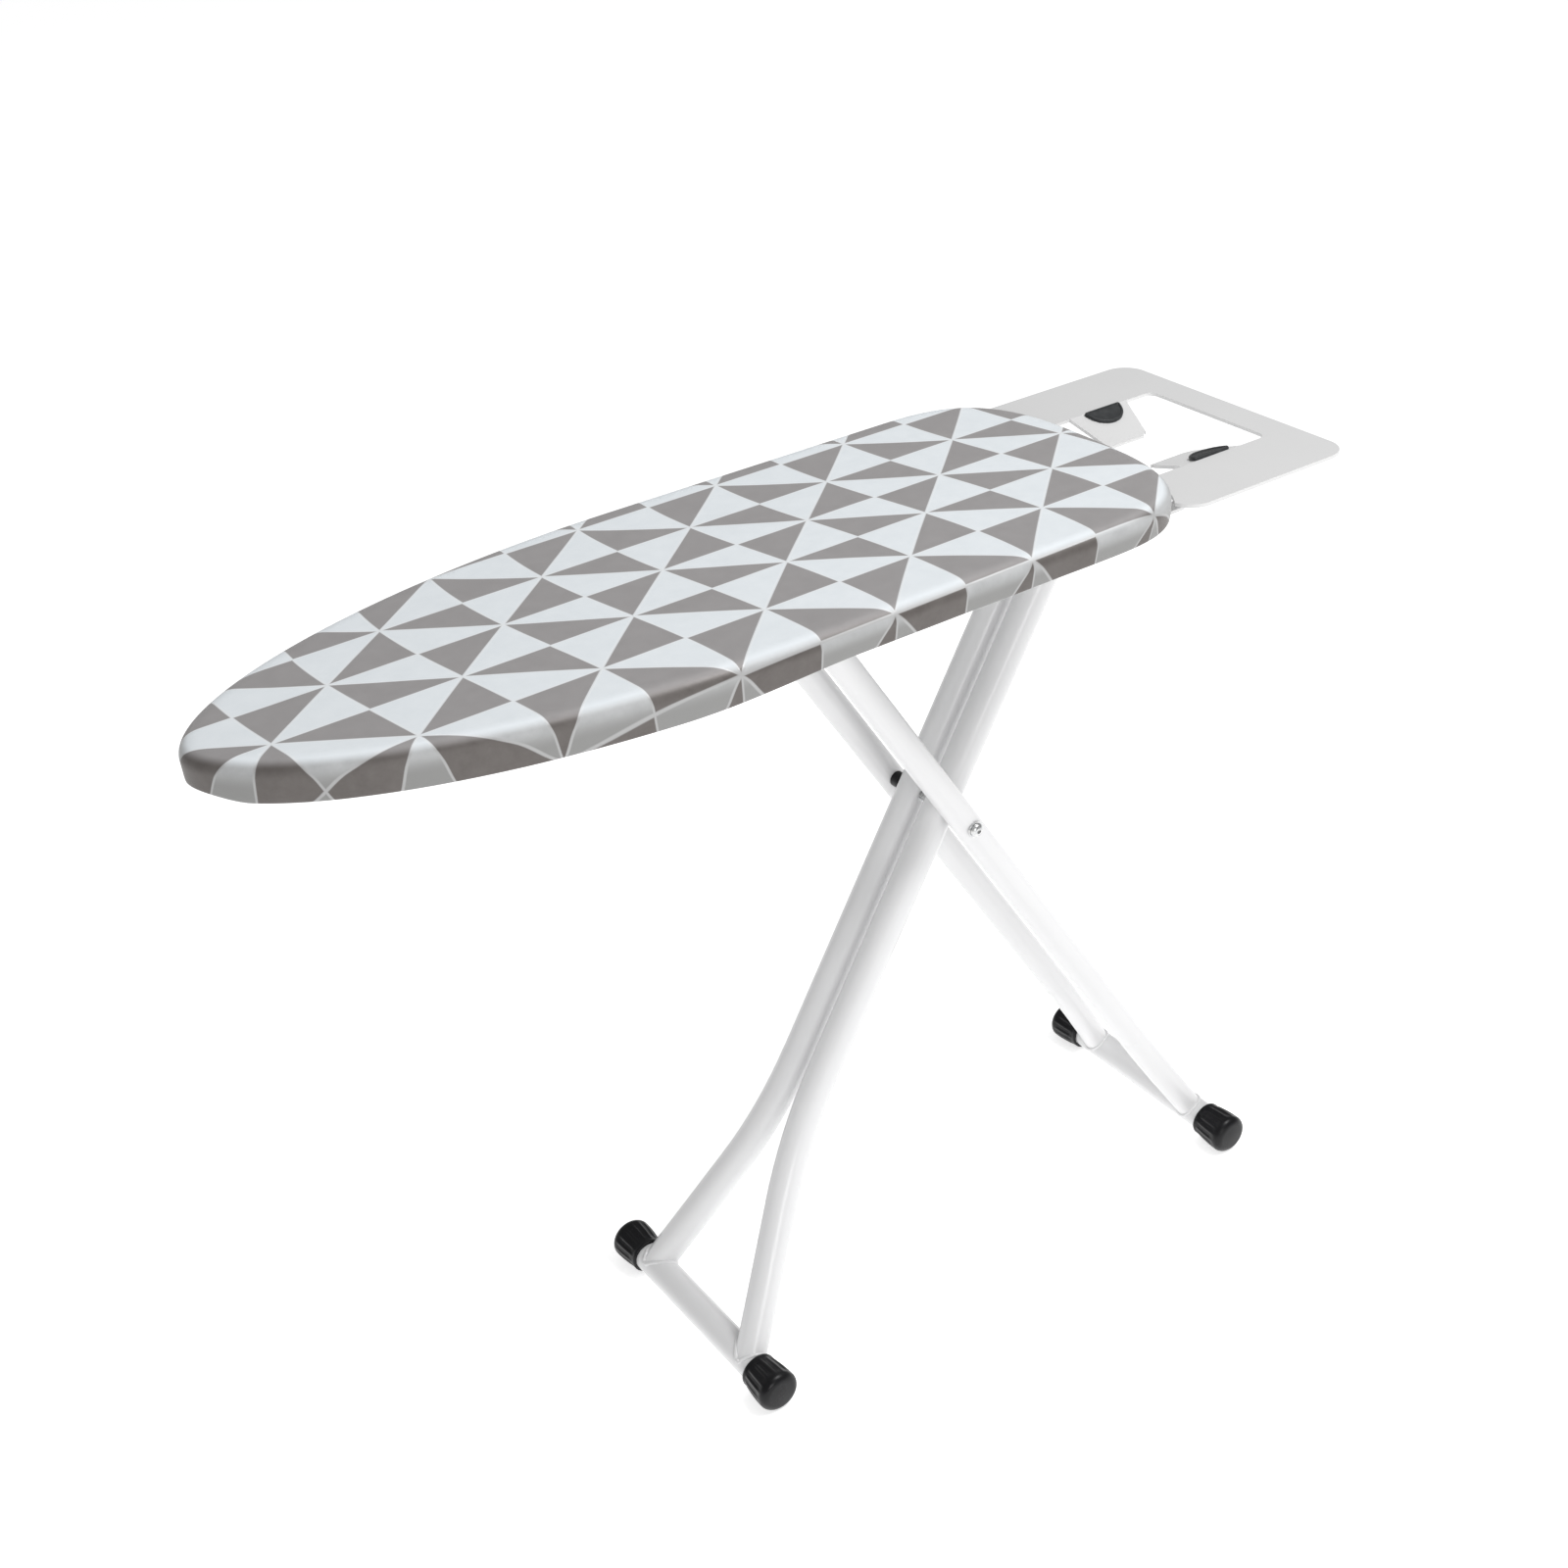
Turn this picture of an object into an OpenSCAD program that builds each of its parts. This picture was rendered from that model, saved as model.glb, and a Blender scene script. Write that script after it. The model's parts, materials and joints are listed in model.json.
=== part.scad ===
// Ironing board with X-crossed tubular legs and a flat iron rest.
// Origin on the floor under the middle of the overall length. +X runs from the
// nose to the iron rest, +Y to the left of that direction, +Z up.

/* [Overall] */
// Length from the nose of the board to the outer edge of the iron rest
overall_len = 1074; // [1066:1:1082]
// Height of the ironing surface above the floor
top_z = 823; // [815:1:835]

/* [Board] */
// Length of the padded board
board_len = 896; // [890:1:902]
// Greatest width of the padded board
board_w = 331; // [328:1:336]
// Length of the tapered nose
nose_len = 462; // [440:1:480]
// Sharpness of the tapered nose, 1 is an ellipse and more is sharper
nose_round = 1.13; // [1:0.01:1.2]
// Length of the rounded square end
end_len = 136; // [125:1:145]
// Roundness of the square end, 2 is an ellipse and more is squarer
end_power = 3; // [2.7:0.1:3.4]
// Thickness of the printed cover
cover_t = 1.5; // [1:0.1:2]
// Thickness of the padded underlay
pad_t = 7; // [5:0.5:8]
// Depth of the band that the cover makes round the edge
band_h = 28; // [26:0.5:29]
// Across flats of the vents in the deck
vent_w = 22; // [16:1:24]
// Distance between vents
vent_pitch = 34; // [30:1:40]

/* [Legs] */
// Angle of each leg from the vertical when the board stands
leg_angle = 31.6; // [31:0.1:32]
// Distance of the crossing from the origin along the board
cross_x = 151.5; // [149:0.5:154]
// Height of the crossing
cross_z = 510; // [505:1:515]
// Height of the hinge and of the slide rod
hinge_z = 777; // [774:1:780]
// Diameter of the inner leg's tubes
a_tube_d = 31.5; // [30:0.5:32]
// Offset of the inner leg's tubes from the centre
a_tube_y = 20.3; // [20:0.1:20.5]
// Offset of the inner leg's tubes at the foot bar
a_foot_y = 86; // [82:1:90]
// Distance of the inner leg's bend from the foot bar
a_bend_s = 215; // [205:1:225]
// Diameter of the outer leg's tubes
b_tube_d = 27.5; // [26:0.5:28]
// Offset of the outer leg's tubes from the centre
b_tube_y = 60; // [59.5:0.1:60.2]
// Offset of the outer leg's tubes at the foot bar
b_foot_y = 77; // [74:1:80]
// Distance of the outer leg's bend from the foot bar
b_bend_s = 110; // [104:1:118]
// Wall of the leg tubes
tube_wall = 1.2; // [1:0.1:1.5]

/* [Feet] */
// Diameter of the foot bars
bar_d = 31; // [30:0.5:32]
// Overall width across the inner leg's feet
a_foot_w = 284; // [278:1:290]
// Overall width across the outer leg's feet
b_foot_w = 279; // [274:1:284]
// Length of a foot cap
cap_len = 42; // [38:1:45]
// Largest diameter of a foot cap, at its outer end
cap_d = 43; // [42:0.5:44]
// Diameter of a foot cap at its inner rim
cap_rim_d = 37; // [36:0.5:38]

/* [Iron rest] */
// Width of the iron rest
rest_w = 302; // [296:1:306]
// Drop of the iron rest below the ironing surface
rest_drop = 18; // [17:1:19]
// Thickness of the iron rest sheet
rest_t = 3.2; // [2.5:0.1:3.2]
// Width of the strip along the outer edge
rest_strip = 34; // [30:1:36]
// Width of the window
window_w = 155; // [150:1:160]
// Drop of each bent tab, in degrees
tab_angle = 18; // [15:1:21]
// Length of each bent tab
tab_len = 52; // [46:1:54]

/* [Height lock] */
// Turn of the inner leg from standing to folded, in degrees
fold_angle = 54; // [50:1:54]
// Diameter of the slide rod
rod_d = 10; // [9:0.5:11]
// Direction of the release lever, in degrees from the forward level
lever_dir = 235; // [230:1:245]
// Reach of the release lever
lever_reach = 45; // [42:1:48]

/* [Hidden] */

left = 1;
right = -1;
fine = 64;            // sides of a plain round shape
run_fit = 0.05;       // radial clearance of a pin that turns in its hole
skin_gap = 0.5;       // clearance between the cover and what it covers

// Board stack, from the top down
nose_x = -overall_len / 2;
end_x = nose_x + board_len;
cover_under_z = top_z - cover_t;
deck_t = 1.5;
deck_top_z = cover_under_z - pad_t;
deck_z = deck_top_z - deck_t;
band_z = top_z - band_h;
hem_reach = 24;       // how far the hem turns in under the rim
rim_t = 1.5;
rim_reach = 14;       // width of the rim's lower flange
rim_in = cover_t + skin_gap;
rim_z = band_z + cover_t + 1;
deck_in = rim_in + rim_t + 0.3;

// Leg geometry: both legs have the same arms above and below the crossing
foot_z = cap_d / 2;
arm_low = (cross_z - foot_z) / cos(leg_angle);
arm_up = (hinge_z - cross_z) / cos(leg_angle);
leg_len = arm_low + arm_up;
foot_a_x = cross_x - arm_low * sin(leg_angle);
foot_b_x = cross_x + arm_low * sin(leg_angle);
hinge_x = cross_x + arm_up * sin(leg_angle);
rod_x = cross_x - arm_up * sin(leg_angle);
folded_rod_x = hinge_x - 2 * arm_up * sin(leg_angle + fold_angle);
a_bend_t = 70;        // tangent length of each bend
b_bend_t = 45;

// Hinge and pivot hardware
pin_r = 5;
sleeve_r = 11;
sleeve_half = 38;
ear_in = 40;
ear_t = 3;
bolt_r = 4;
bush_r = 6;
spacer_r = 8;
a_out_y = a_tube_y + a_tube_d / 2;
b_in_y = b_tube_y - b_tube_d / 2;
b_out_y = b_tube_y + b_tube_d / 2;
b_top_extra = 14;     // tube left beyond the slide rod

// Slide rails: a web with an upper and a lower flange that the rollers run between
rod_r = rod_d / 2;
roller_r = 9;
slot_half = roller_r + 0.3;
sheet_t = 2;
rail_x0 = -328;
rail_x1 = 320;
web_y = 90.5;
flange_in_y = 78.5;
rail_top_out_y = 107;
roller_y0 = 77;
roller_y1 = 89;
stop_len = 9;

// Lever, on the left-hand side, and the strip that its hub grips
hub_y0 = 37.6;
hub_y1 = 43;
brake_x0 = -335;
brake_x1 = 5;
brake_out_y = 43.5;
brake_in_y = 32;
brake_top_in_y = 18;
lever_bar_r = 3.5;
lever_x = rod_x + lever_reach * cos(lever_dir);
lever_z = hinge_z + lever_reach * sin(lever_dir);
grip_y0 = 110;
lever_y1 = 150;

// Iron rest
rest_z = top_z - rest_drop;
rest_corner_r = 25;
rest_tuck = 25;       // how far the sheet reaches in beside the end of the board
window_r = 9;
rest_x1 = overall_len / 2;
window_x1 = rest_x1 - rest_strip;
tab_x0 = 396;
tab_x1 = 469;
tab_tip_x0 = 403;
tab_tip_x1 = 452;
arm_y = 118;
arm_w = 14;
arm_x0 = 228;
arm_x1 = 465;
arm_t = 3;
arm_z = band_z - 4.5;
screw_xs = [240, 288];

stiffener_xs = [-300, -160, -20, 120, 250];
stiffener_w = 26;
stiffener_z = 799.5;

// ---- Shared shapes ----

// One side of the board's outline, from the nose to the square end, moved in by an inset
function board_side(inset) = concat(
    [for (t = [0:4:88])
        [nose_x + nose_len - (nose_len - inset) * cos(t),
         (board_w / 2 - inset) * pow(sin(t), nose_round)]],
    [for (t = [90:-4:6])
        [end_x - end_len + (end_len - inset) * pow(cos(t), 2 / end_power),
         (board_w / 2 - inset) * pow(sin(t), 2 / end_power)]],
    [[end_x - inset, (board_w / 2 - inset) * pow(sin(1), 2 / end_power)]]);

function mirrored(points) = [for (i = [len(points) - 1:-1:1]) [points[i][0], -points[i][1]]];

module board_outline(inset) polygon(concat(board_side(inset), mirrored(board_side(inset))));

module board_slab(inset, z0, z1) translate([0, 0, z0]) linear_extrude(z1 - z0) board_outline(inset);

// A cylinder along Y
module y_rod(x, z, r, y0, y1) translate([x, y0, z]) rotate([-90, 0, 0])
    cylinder(h = y1 - y0, r = r, $fn = fine);

// A ring along Y
module y_ring(x, z, r, bore_r, y0, y1) difference() {
    y_rod(x, z, r, y0, y1);
    y_rod(x, z, bore_r, y0 - 1, y1 + 1);
}

module flip(side) if (side == right) mirror([0, 1, 0]) children(); else children();

// Turns a shape drawn along +Z from the foot bar into a leg's own direction
module place_leg_a() translate([foot_a_x, 0, foot_z]) rotate([0, leg_angle, 0]) children();
module place_leg_b() translate([foot_b_x, 0, foot_z]) rotate([0, -leg_angle, 0]) children();

// The space a bent leg tube fills: a splayed foot, one smooth bend and a straight run.
// The bend is a hair thicker, and the straight stretches run a little way into it.
module bent_rod(r, top_y, foot_y, bend_s, bend_t, top_s) {
    splay = atan((foot_y - top_y) / bend_s);
    bend_r = bend_t / tan(splay / 2);
    foot_run = norm([foot_y - top_y, bend_s]) - bend_t;
    join = 6;
    bend_swell = 0.12;
    translate([0, foot_y, 0]) rotate([splay, 0, 0]) cylinder(h = foot_run + join, r = r, $fn = fine);
    translate([0, top_y + bend_r, bend_s + bend_t]) rotate([90, 0, 90]) rotate([0, 0, 180])
        rotate_extrude(angle = splay, $fn = 4 * fine)
            translate([bend_r, 0]) circle(r = r + bend_swell, $fn = fine);
    translate([0, top_y, bend_s + bend_t - join])
        cylinder(h = top_s - bend_s - bend_t + join, r = r, $fn = fine);
}

// A leg tube, hollow, with its foot end cut to sit on the foot bar
module leg_tube(d, top_y, foot_y, bend_s, bend_t, top_s) difference() {
    bent_rod(d / 2, top_y, foot_y, bend_s, bend_t, top_s);
    bent_rod(d / 2 - tube_wall, top_y, foot_y, bend_s, bend_t, top_s + 1);
    y_rod(0, 0, bar_d / 2, 0, 200);
}

// A foot bar, hollow, ending inside its caps
module foot_bar(x, w) y_ring(x, foot_z, bar_d / 2, bar_d / 2 - 1.5, -w / 2 + 5, w / 2 - 5);

// A flared foot cap pushed over the end of a foot bar
module foot_cap(x, w, side) {
    corner = 6;
    end_y = w / 2;
    flip(side) translate([x, end_y - cap_len, foot_z]) rotate([-90, 0, 0])
        rotate_extrude($fn = fine) difference() {
            union() {
                polygon([[0, 0], [cap_rim_d / 2, 0], [cap_d / 2, cap_len - corner],
                    [cap_d / 2 - corner, cap_len - corner], [cap_d / 2 - corner, cap_len],
                    [0, cap_len]]);
                intersection() {
                    translate([cap_d / 2 - corner, cap_len - corner]) circle(r = corner, $fn = 48);
                    translate([cap_d / 2 - corner, cap_len - corner]) square(corner);
                }
            }
            translate([-1, -1]) square([1 + bar_d / 2 + 0.05, cap_len - 4]);
            translate([-50, -50]) square([50, 200]);
        }
}

// ---- Board ----

module cover() color("gainsboro") difference() {
    board_slab(0, band_z, top_z);
    board_slab(cover_t, band_z + cover_t, cover_under_z);
    board_slab(hem_reach, band_z - 1, band_z + cover_t + 1);
}

module underlay() color("white") board_slab(rim_in, deck_top_z, cover_under_z);

module deck() {
    row_h = vent_pitch * sin(60);
    rows = floor(board_w / 2 / row_h);
    columns = ceil(board_len / 2 / vent_pitch);
    middle_x = nose_x + board_len / 2;
    color("silver") translate([0, 0, deck_z]) linear_extrude(deck_t) difference() {
        board_outline(deck_in);
        intersection() {
            board_outline(rim_in + rim_reach + 6);
            for (row = [-rows:rows], column = [-columns:columns])
                translate([middle_x + (column + (abs(row) % 2) / 2) * vent_pitch, row * row_h])
                    rotate(30) circle(d = vent_w / cos(30), $fn = 6);
        }
    }
}

module rim() color("silver") {
    difference() {
        board_slab(rim_in, rim_z, deck_top_z);
        board_slab(rim_in + rim_t, rim_z + rim_t, deck_top_z + 1);
        board_slab(rim_in + rim_reach, rim_z - 1, deck_top_z);
    }
}

module rail(side) {
    z0 = hinge_z - slot_half;
    z1 = hinge_z + slot_half;
    out_y = web_y + sheet_t;
    color("silver") flip(side) translate([rail_x0, 0, 0]) rotate([90, 0, 90])
        linear_extrude(rail_x1 - rail_x0) polygon([
            [flange_in_y, z0 - sheet_t], [out_y, z0 - sheet_t], [out_y, deck_z - sheet_t],
            [rail_top_out_y, deck_z - sheet_t], [rail_top_out_y, deck_z], [web_y, deck_z],
            [web_y, z1 + sheet_t], [flange_in_y, z1 + sheet_t], [flange_in_y, z1],
            [web_y, z1], [web_y, z0], [flange_in_y, z0]]);
}
module rail_left() rail(left);
module rail_right() rail(right);

module rail_stops() color("dimgray")
    for (side = [left, right],
         x = [rod_x + roller_r + 0.5, folded_rod_x - roller_r - 0.5 - stop_len])
        flip(side) translate([x, flange_in_y, hinge_z - slot_half + 0.1])
            cube([stop_len, web_y - flange_in_y - 0.1, 2 * slot_half - 0.2]);

// The strip under the stiffeners that the lever's hub grips
module brake_rail() color("silver") {
    z0 = hinge_z + slot_half;
    translate([brake_x0, 0, 0]) rotate([90, 0, 90]) linear_extrude(brake_x1 - brake_x0) polygon([
        [brake_out_y, z0], [brake_out_y, z0 + sheet_t], [brake_in_y + sheet_t, z0 + sheet_t],
        [brake_in_y + sheet_t, stiffener_z], [brake_top_in_y, stiffener_z],
        [brake_top_in_y, stiffener_z - sheet_t], [brake_in_y, stiffener_z - sheet_t],
        [brake_in_y, z0]]);
}

module stiffener(x) {
    half = stiffener_w / 2;
    wall = 1.5;
    color("silver") translate([x, web_y - 0.5, 0]) rotate([90, 0, 0])
        linear_extrude(2 * web_y - 1) polygon([
            [-half, deck_z], [-half, stiffener_z], [half, stiffener_z], [half, deck_z],
            [half - wall, deck_z], [half - wall, stiffener_z + wall],
            [wall - half, stiffener_z + wall], [wall - half, deck_z]]);
}
module stiffener_1() stiffener(stiffener_xs[0]);
module stiffener_2() stiffener(stiffener_xs[1]);
module stiffener_3() stiffener(stiffener_xs[2]);
module stiffener_4() stiffener(stiffener_xs[3]);
module stiffener_5() stiffener(stiffener_xs[4]);

module hinge_bracket() {
    base_half = 18;
    lobe_r = 14;
    color("silver") difference() {
        union() {
            translate([hinge_x - base_half, -ear_in - ear_t, deck_z - ear_t])
                cube([2 * base_half, 2 * (ear_in + ear_t), ear_t]);
            for (side = [left, right]) flip(side) {
                y_rod(hinge_x, hinge_z, lobe_r, ear_in, ear_in + ear_t);
                translate([hinge_x, ear_in + ear_t, 0]) rotate([90, 0, 0])
                    linear_extrude(ear_t) polygon([[-lobe_r, hinge_z], [lobe_r, hinge_z],
                        [base_half, deck_z - ear_t], [-base_half, deck_z - ear_t]]);
            }
        }
        y_rod(hinge_x, hinge_z, pin_r + run_fit, -60, 60);
    }
}

module hinge_pin() color("silver") {
    y_rod(hinge_x, hinge_z, pin_r, -ear_in - ear_t - 0.2, ear_in + ear_t + 4);
    y_rod(hinge_x, hinge_z, 8, -ear_in - ear_t - 3.4, -ear_in - ear_t - 0.2);
}

module hinge_pin_nut() color("silver")
    y_ring(hinge_x, hinge_z, 8, pin_r + run_fit, ear_in + ear_t + 0.2, ear_in + ear_t + 3);

// ---- Iron rest ----

module rounded_square(x0, x1, w, r) {
    translate([x0 + r, -w / 2]) square([x1 - x0 - 2 * r, w]);
    translate([x0, -w / 2 + r]) square([x1 - x0, w - 2 * r]);
    for (x = [x0 + r, x1 - r], y = [-w / 2 + r, w / 2 - r])
        translate([x, y]) circle(r = r, $fn = fine);
}

// One tab, drawn flat: wide at its root on the window's edge, narrower at its tip
module tab_flat() {
    tip_r = 6;
    difference() {
        polygon([[tab_x0, 0], [tab_x1, 0], [tab_tip_x1, -tab_len], [tab_tip_x0, -tab_len]]);
        translate([tab_tip_x0 - 4, -tab_len - 1]) rotate(28) square([tip_r, tip_r]);
        translate([tab_tip_x1 - 1, -tab_len - 4]) rotate(35) square([tip_r, tip_r]);
    }
}

// Puts a flat shape on a tab's slope, drawn with the tab's root along X
module on_tab(side, lift) flip(side) translate([0, window_w / 2, rest_z])
    rotate([tab_angle, 0, 0]) translate([0, 0, lift]) children();

module rest_plate() color("whitesmoke") {
    translate([0, 0, rest_z - rest_t]) linear_extrude(rest_t) difference() {
        rounded_square(end_x - rest_tuck, rest_x1, rest_w, rest_corner_r);
        board_outline(-3);
        rounded_square(300, window_x1, window_w, window_r);
    }
    for (side = [left, right]) on_tab(side, -rest_t) linear_extrude(rest_t) tab_flat();
}

module rest_pad(side) {
    pad_r = 22;
    pad_x = 435;
    flat_y = -1;
    color("black") on_tab(side, 0) linear_extrude(3.5) intersection() {
        translate([pad_x, flat_y]) circle(r = pad_r, $fn = fine);
        translate([pad_x - 30, flat_y - 30]) square([60, 30]);
    }
}
module rest_pad_left() rest_pad(left);
module rest_pad_right() rest_pad(right);

module rest_arm(side) {
    upper_z = rest_z - rest_t - arm_t;
    step_x = 352;
    color("whitesmoke") flip(side) difference() {
        translate([0, arm_y + arm_w / 2, 0]) rotate([90, 0, 0]) linear_extrude(arm_w) polygon([
            [arm_x0, arm_z], [step_x, arm_z], [step_x + 16, upper_z], [arm_x1, upper_z],
            [arm_x1, upper_z + arm_t], [step_x + 14.5, upper_z + arm_t],
            [step_x - 1.5, arm_z + arm_t], [arm_x0, arm_z + arm_t]]);
        for (x = screw_xs) translate([x, arm_y, arm_z - 1]) cylinder(h = 5, r = 2.6, $fn = 32);
    }
}
module rest_arm_left() rest_arm(left);
module rest_arm_right() rest_arm(right);

module at_rest_screws() for (side = [left, right], x = screw_xs)
    flip(side) translate([x, arm_y, arm_z]) children();

module rest_standoffs() color("silver") at_rest_screws() difference() {
    translate([0, 0, arm_t]) cylinder(h = deck_z - arm_z - arm_t, r = 6, $fn = fine);
    cylinder(h = arm_t + 11, r = 2.6, $fn = 32);
}

module rest_screws() color("silver") at_rest_screws() {
    translate([0, 0, -3]) cylinder(h = 3, r = 5, $fn = fine);
    cylinder(h = arm_t + 10, r = 2.5, $fn = 32);
}

// ---- Inner leg ----

module leg_a_tube(side) {
    color("white") flip(side) difference() {
        place_leg_a() leg_tube(a_tube_d, a_tube_y, a_foot_y, a_bend_s, a_bend_t, leg_len - 6);
        y_rod(hinge_x, hinge_z, sleeve_r, 0, 60);
        y_rod(cross_x, cross_z, bush_r, 0, 60);
    }
}
module leg_a_tube_left() leg_a_tube(left);
module leg_a_tube_right() leg_a_tube(right);

module hinge_sleeve() color("white")
    y_ring(hinge_x, hinge_z, sleeve_r, pin_r + run_fit, -sleeve_half, sleeve_half);

module foot_bar_a() color("white") foot_bar(foot_a_x, a_foot_w);
module foot_cap_a_left() color("black") foot_cap(foot_a_x, a_foot_w, left);
module foot_cap_a_right() color("black") foot_cap(foot_a_x, a_foot_w, right);

module pivot_bush(side) color("silver") flip(side)
    y_ring(cross_x, cross_z, bush_r, bolt_r + run_fit, a_tube_y - a_tube_d / 2, a_out_y);
module pivot_bush_left() pivot_bush(left);
module pivot_bush_right() pivot_bush(right);

// ---- Outer leg ----

module leg_b_tube(side) {
    color("white") flip(side) difference() {
        place_leg_b() leg_tube(b_tube_d, b_tube_y, b_foot_y, b_bend_s, b_bend_t,
            leg_len + b_top_extra);
        y_rod(rod_x, hinge_z, rod_r + run_fit, 0, 100);
        y_rod(cross_x, cross_z, bolt_r + run_fit, 0, 100);
    }
}
module leg_b_tube_left() leg_b_tube(left);
module leg_b_tube_right() leg_b_tube(right);

module leg_b_plug(side) color("black") flip(side) place_leg_b()
    translate([0, b_tube_y, leg_len + b_top_extra]) {
        cylinder(h = 2, r = b_tube_d / 2, $fn = fine);
        translate([0, 0, -8]) cylinder(h = 8, r = b_tube_d / 2 - tube_wall - 0.1, $fn = fine);
    }
module leg_b_plug_left() leg_b_plug(left);
module leg_b_plug_right() leg_b_plug(right);

module foot_bar_b() color("white") foot_bar(foot_b_x, b_foot_w);
module foot_cap_b_left() color("black") foot_cap(foot_b_x, b_foot_w, left);
module foot_cap_b_right() color("black") foot_cap(foot_b_x, b_foot_w, right);

module slide_rod() color("silver")
    y_rod(rod_x, hinge_z, rod_r, -web_y + 1, web_y - 1);

module roller(side) color("ivory") flip(side)
    y_ring(rod_x, hinge_z, roller_r, rod_r + run_fit, roller_y0, roller_y1);
module roller_left() roller(left);
module roller_right() roller(right);

module rod_collars() color("silver") for (side = [left, right]) flip(side)
    y_ring(rod_x, hinge_z, rod_r + 2, rod_r + run_fit, b_out_y + 0.3, roller_y0 - 0.2);

module pivot_bolt() color("silver") {
    head_y = -b_out_y - 1.6;
    y_rod(cross_x, cross_z, bolt_r, head_y, b_out_y + 11);
    y_rod(cross_x, cross_z, 7, head_y - 4.5, head_y);
}

module pivot_nut() color("silver") difference() {
    translate([cross_x, b_out_y + 1.7, cross_z]) rotate([-90, 0, 0])
        cylinder(h = 7, r = 13 / sqrt(3), $fn = 6);
    y_rod(cross_x, cross_z, bolt_r + run_fit, 0, 100);
}

module pivot_washers() color("silver") for (side = [left, right]) flip(side)
    y_ring(cross_x, cross_z, 8.5, bolt_r + 0.2, b_out_y, b_out_y + 1.5);

module pivot_spacer(side) color("black") flip(side)
    y_ring(cross_x, cross_z, spacer_r, bolt_r + run_fit, a_out_y + 0.3, b_in_y);
module pivot_spacer_left() pivot_spacer(left);
module pivot_spacer_right() pivot_spacer(right);

// ---- Height lock ----

// Return spring of the lever: a coil round the slide rod, with both ends closed
module lever_spring() {
    turns = 3.5;
    coil_r = 6.6;
    wire_r = 0.7;
    steps = 42;
    sides = 6;
    start_y = hub_y0 - 7.2;
    pitch = 1.55;
    points = [for (i = [0:steps], k = [0:sides - 1])
        let (turn = 360 * turns * i / steps, around = 360 * k / sides,
             r = coil_r + wire_r * cos(around))
        [rod_x + r * cos(turn), start_y + pitch * turns * i / steps + wire_r * sin(around),
         hinge_z + r * sin(turn)]];
    walls = [for (i = [0:steps - 1], k = [0:sides - 1])
        [i * sides + k, (i + 1) * sides + k, (i + 1) * sides + (k + 1) % sides,
         i * sides + (k + 1) % sides]];
    caps = [[for (k = [0:sides - 1]) k], [for (k = [sides - 1:-1:0]) steps * sides + k]];
    color("silver") polyhedron(points, concat(walls, caps), convexity = 6);
}

// Lever with an eccentric hub that grips the strip above it
module release_lever() color("silver") difference() {
    union() {
        y_rod(rod_x, hinge_z, roller_r, hub_y0, hub_y1);
        translate([rod_x, hub_y0, hinge_z]) rotate([0, -lever_dir, 0])
            translate([0, 0, -lever_bar_r]) cube([lever_reach, hub_y1 - hub_y0, 2 * lever_bar_r]);
        y_rod(lever_x, lever_z, lever_bar_r, hub_y0, lever_y1);
    }
    y_rod(rod_x, hinge_z, rod_r + run_fit, hub_y0 - 1, hub_y1 + 1);
    translate([rod_x, hub_y0 - 1, hinge_z]) rotate([0, -125, 0])
        translate([7.4, 0, -15]) cube([10, hub_y1 - hub_y0 + 2, 30]);
}

// Sleeve with a rounded, closed outer end
module lever_grip() color("dimgray") {
    grip_r = 7;
    round_r = 3;
    length = lever_y1 + round_r - grip_y0;
    translate([lever_x, lever_y1 + round_r, lever_z]) rotate([90, 0, 0]) rotate_extrude($fn = fine)
        difference() {
            union() {
                translate([0, round_r]) square([grip_r, length - round_r]);
                square([grip_r - round_r, round_r + 1]);
                intersection() {
                    translate([grip_r - round_r, round_r]) circle(r = round_r, $fn = 32);
                    translate([grip_r - round_r, 0]) square(round_r);
                }
            }
            translate([0, round_r]) square([lever_bar_r + run_fit, length]);
        }
}

cover();
underlay();
deck();
rim();
rail_left();
rail_right();
rail_stops();
brake_rail();
stiffener_1();
stiffener_2();
stiffener_3();
stiffener_4();
stiffener_5();
hinge_bracket();
hinge_pin();
hinge_pin_nut();
rest_plate();
rest_arm_left();
rest_arm_right();
rest_standoffs();
rest_screws();
rest_pad_left();
rest_pad_right();
leg_a_tube_left();
leg_a_tube_right();
hinge_sleeve();
foot_bar_a();
foot_cap_a_left();
foot_cap_a_right();
pivot_bush_left();
pivot_bush_right();
leg_b_tube_left();
leg_b_tube_right();
leg_b_plug_left();
leg_b_plug_right();
foot_bar_b();
foot_cap_b_left();
foot_cap_b_right();
slide_rod();
roller_left();
roller_right();
rod_collars();
pivot_bolt();
pivot_nut();
pivot_washers();
pivot_spacer_left();
pivot_spacer_right();
lever_spring();
release_lever();
lever_grip();
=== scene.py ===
import json
import math

import bmesh
import bpy
import numpy as np
from mathutils import Matrix, Vector, noise


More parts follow.
